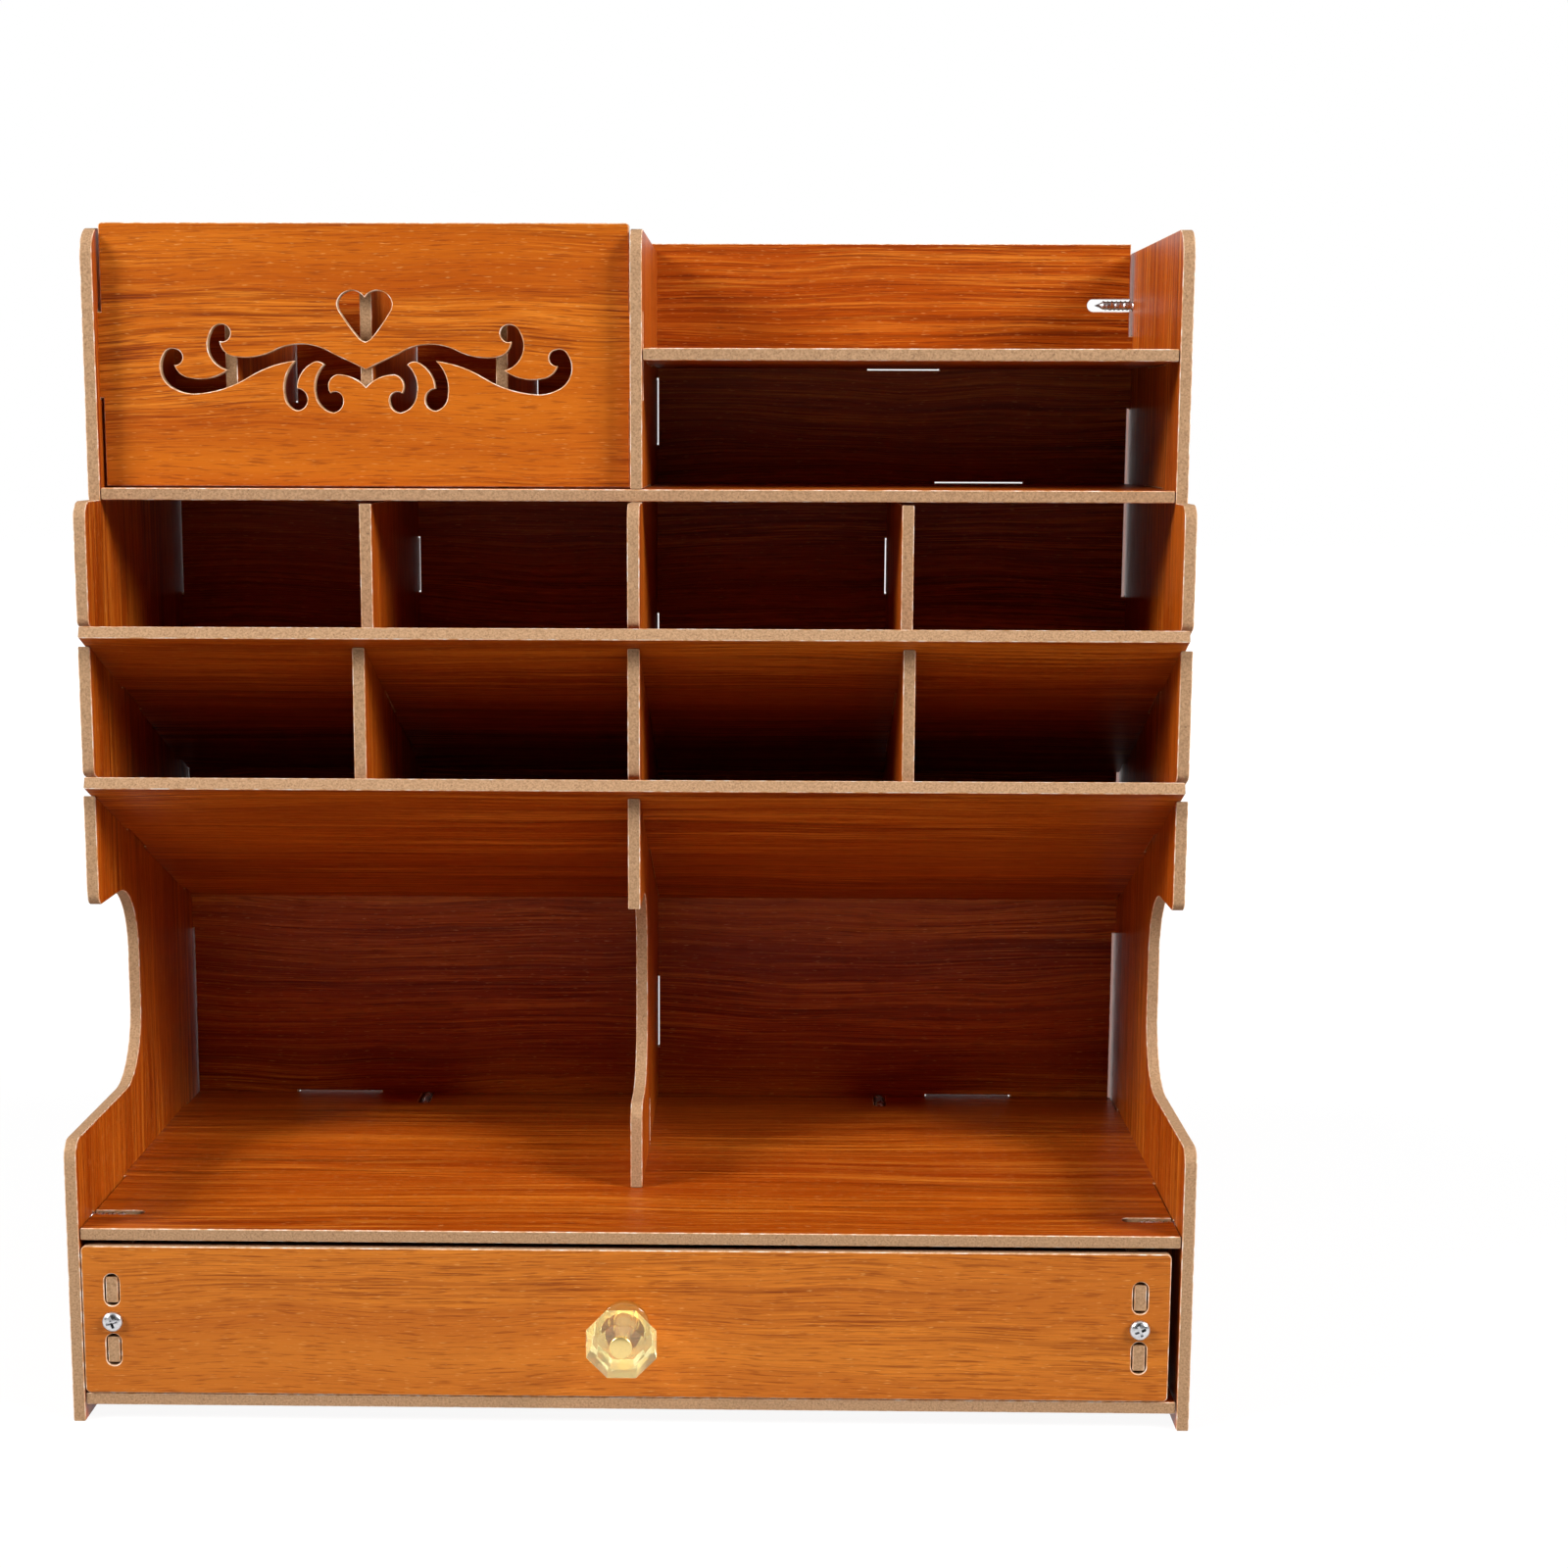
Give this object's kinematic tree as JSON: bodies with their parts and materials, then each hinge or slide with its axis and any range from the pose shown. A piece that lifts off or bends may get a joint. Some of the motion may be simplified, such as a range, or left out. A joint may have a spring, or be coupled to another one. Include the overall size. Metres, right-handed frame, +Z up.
{
  "type": "desk organizer",
  "caption": "Upright desk organizer of laminated board with a heart-cut box, open shelf, sloped pen tiers, large bays and a sliding drawer with a faceted knob.",
  "frame": {"origin": "on the surface that it stands on, under the middle of the whole object's box", "axes": "+X to the right seen from the front, +Y to the back, +Z up; the drawer opens along -Y"},
  "size_m": [0.3342, 0.196, 0.352],
  "materials": {
    "laminated_board": "satin cherry grain laminate with raw fibreboard edges",
    "screw_steel": "zinc plated",
    "knob_acrylic": "clear yellowish acrylic",
    "gold_metal": "polished gold colour"
  },
  "bodies": {
    "cabinet": {"left_side_panel": "laminated_board", "right_side_panel": "laminated_board", "centre_panel": "laminated_board", "back_panel": "laminated_board", "bottom_board": "laminated_board", "compartment_floor": "laminated_board", "lower_sloped_board": "laminated_board", "upper_sloped_board": "laminated_board", "top_floor_board": "laminated_board", "top_shelf": "laminated_board", "heart_panel": "laminated_board", "cell_divider_left": "laminated_board", "cell_divider_middle": "laminated_board", "cell_divider_right": "laminated_board", "upper_pen_divider_left": "laminated_board", "upper_pen_divider_right": "laminated_board", "lower_pen_divider_left": "laminated_board", "lower_pen_divider_right": "laminated_board", "side_panel_screws": "screw_steel", "back_panel_screws": "screw_steel", "centre_panel_screw": "screw_steel"},
    "drawer": {"drawer_front": "laminated_board", "drawer_back": "laminated_board", "drawer_left_side": "laminated_board", "drawer_right_side": "laminated_board", "drawer_bottom": "laminated_board", "drawer_screws": "screw_steel", "knob_body": "knob_acrylic", "knob_bolt": "gold_metal", "knob_washer": "screw_steel", "knob_nut": "screw_steel"}
  },
  "joints": [
    {"name": "drawer_slide", "type": "slide", "parent": "cabinet", "child": "drawer", "axis": [0, -1, 0], "range_m": [0, 0.11]}
  ]
}
